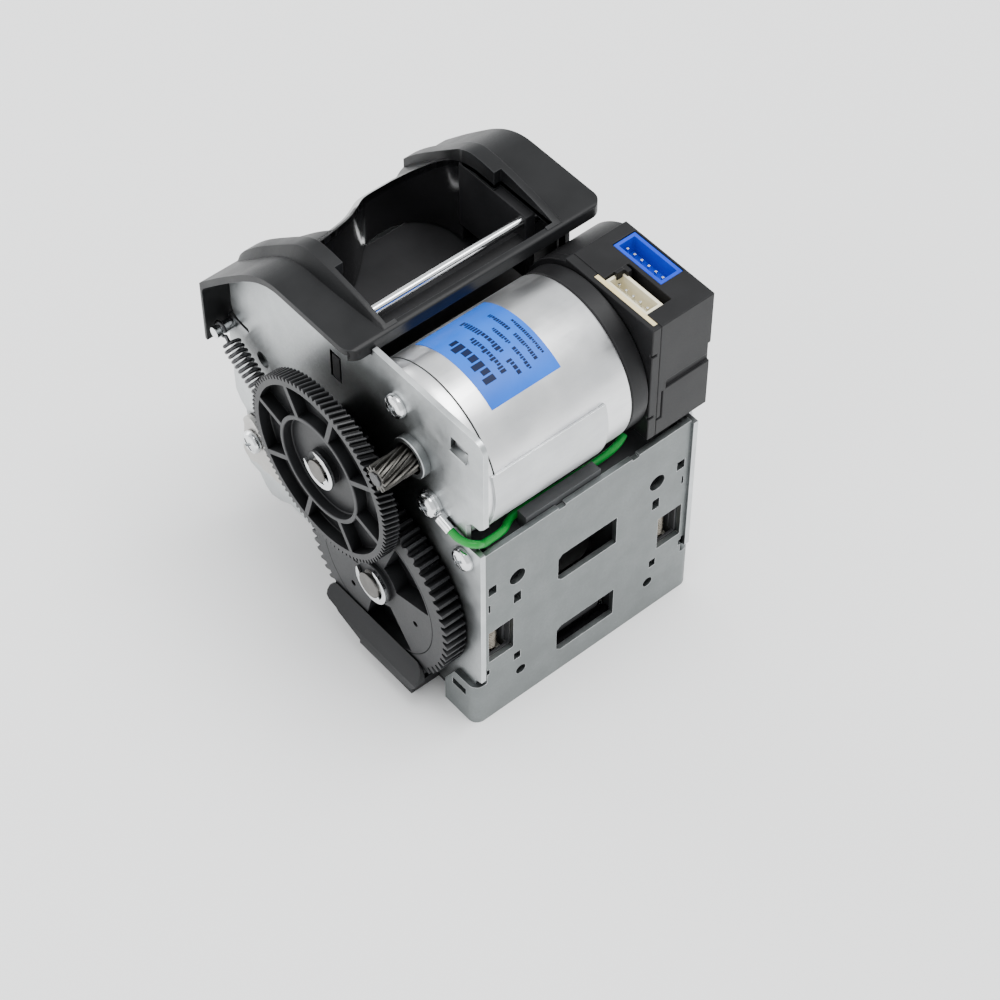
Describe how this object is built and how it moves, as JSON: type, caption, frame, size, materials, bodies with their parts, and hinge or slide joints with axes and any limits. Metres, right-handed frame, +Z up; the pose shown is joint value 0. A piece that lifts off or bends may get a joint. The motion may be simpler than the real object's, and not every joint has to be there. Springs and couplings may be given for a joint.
{
  "type": "bill validator",
  "caption": "Motor-driven bill transport head with sheet-steel sides, exposed gear train, sprung rollers, encoder box and a moulded hood around the bill mouth",
  "frame": {"origin": "midway between the two round mounting holes, on the outer face of the front plate", "axes": "+X from the gear side to the encoder side, +Y from the front plate to the back, +Z up; the unit stands on its bottom edge at z = -40.4 mm"},
  "size_m": [0.0689, 0.0822, 0.0921],
  "materials": {
    "zinc_steel": "zinc plated, satin",
    "zinc_bright": "bright zinc",
    "can_steel": "plated drawn can, satin",
    "shaft_steel": "ground and polished",
    "black_abs": "black, fine satin texture",
    "guide_black": "black, semi-gloss",
    "encoder_black": "black, satin",
    "gear_grey": "dark grey acetal",
    "pinion_steel": "hardened steel, oiled",
    "label_blue": "printed film",
    "wire_green": "PVC jacket",
    "header_cream": "nylon",
    "header_blue": "nylon",
    "board_cream": "cut edge of a laminate board",
    "pin_tin": "tinned",
    "bush_brass": "sintered",
    "rubber": "ground",
    "roller_grey": "natural acetal",
    "block_ivory": "natural acetal",
    "lever_grey": "warm grey die casting",
    "spring_dark": "dark spring wire",
    "spring_light": "spring wire",
    "copper": "wound armature",
    "disc_clear": "clear code wheel"
  },
  "bodies": {
    "frame": {"left_side_plate": "zinc_steel", "right_side_plate": "zinc_steel", "front_plate": "zinc_steel", "rear_stay": "zinc_steel", "top_cover": "black_abs", "front_guide": "guide_black", "rear_guide": "guide_black", "lower_guide": "guide_black", "front_block": "guide_black", "mouth_rod": "shaft_steel", "spring_post": "zinc_bright", "plate_screws": "zinc_bright", "lever_screw": "zinc_bright", "feed_bushes": "bush_brass", "gear_stub": "shaft_steel", "stub_clip": "zinc_bright", "motor_can": "can_steel", "flux_ring": "can_steel", "motor_label": "label_blue", "motor_boss": "can_steel", "motor_end_ring": "encoder_black", "motor_screws": "zinc_bright", "encoder_base": "encoder_black", "encoder_cap": "encoder_black", "encoder_board": "board_cream", "signal_header": "header_cream", "power_header": "header_blue", "header_pins": "pin_tin", "ring_terminal": "pin_tin", "ground_wire": "wire_green", "tension_spring": "spring_dark", "idler_springs": "spring_light"},
    "feed": {"feed_shaft": "shaft_steel", "feed_gear": "gear_grey", "feed_clips": "zinc_bright", "drum_core": "gear_grey", "drum_tyre": "rubber"},
    "compound": {"compound_gear": "gear_grey"},
    "rotor": {"motor_armature": "copper", "motor_shaft": "shaft_steel", "motor_pinion": "pinion_steel", "encoder_disc": "disc_clear"},
    "pinch_frame": {"pinch_bracket": "zinc_steel", "pinch_pivot": "shaft_steel", "pinch_lever": "zinc_bright", "pinch_axle": "shaft_steel"},
    "pinch_roll": {"pinch_roller": "rubber"},
    "idler_slide": {"slide_blocks": "block_ivory", "idler_axle": "shaft_steel"},
    "idler_roll": {"idler_roller": "roller_grey"},
    "latch": {"latch_lever": "lever_grey"}
  },
  "joints": [
    {"name": "feed_spin", "type": "hinge", "parent": "frame", "child": "feed", "pos_m": [0, 0.0254, -0.01351], "axis": [1, 0, 0], "continuous": true},
    {"name": "compound_spin", "type": "hinge", "parent": "frame", "child": "compound", "pos_m": [-0.034, 0.0367, 0.01363], "axis": [1, 0, 0], "continuous": true},
    {"name": "motor_spin", "type": "hinge", "parent": "frame", "child": "rotor", "pos_m": [0, 0.0183, 0.0276], "axis": [1, 0, 0], "continuous": true},
    {"name": "pinch_open", "type": "hinge", "parent": "frame", "child": "pinch_frame", "pos_m": [0, 0.05325, 0.00049], "axis": [1, 0, 0], "range_deg": [0, 3], "stiffness_Nm_per_rad": 0.03, "springref_deg": -20.05},
    {"name": "pinch_roll_spin", "type": "hinge", "parent": "pinch_frame", "child": "pinch_roll", "pos_m": [0, 0.05055, -0.01351], "axis": [1, 0, 0], "continuous": true},
    {"name": "idler_drop", "type": "slide", "parent": "frame", "child": "idler_slide", "axis": [0, 0, -1], "range_m": [0, 0.0015], "stiffness_N_per_m": 600, "springref_m": -0.003, "deforming": ["idler_springs"]},
    {"name": "idler_roll_spin", "type": "hinge", "parent": "idler_slide", "child": "idler_roll", "pos_m": [0, 0.0073, -0.0298], "axis": [1, 0, 0], "continuous": true},
    {"name": "latch_swing", "type": "hinge", "parent": "frame", "child": "latch", "pos_m": [-0.0289, 0.0707, -0.0139], "axis": [1, 0, 0], "range_deg": [0, 20]}
  ],
  "couplings": [
    {"joint": "compound_spin", "follows": "feed_spin", "ratio": -2.6522},
    {"joint": "motor_spin", "follows": "feed_spin", "ratio": 21.659},
    {"joint": "pinch_roll_spin", "follows": "feed_spin", "ratio": -3.1667},
    {"joint": "idler_roll_spin", "follows": "feed_spin", "ratio": -3.6538}
  ]
}
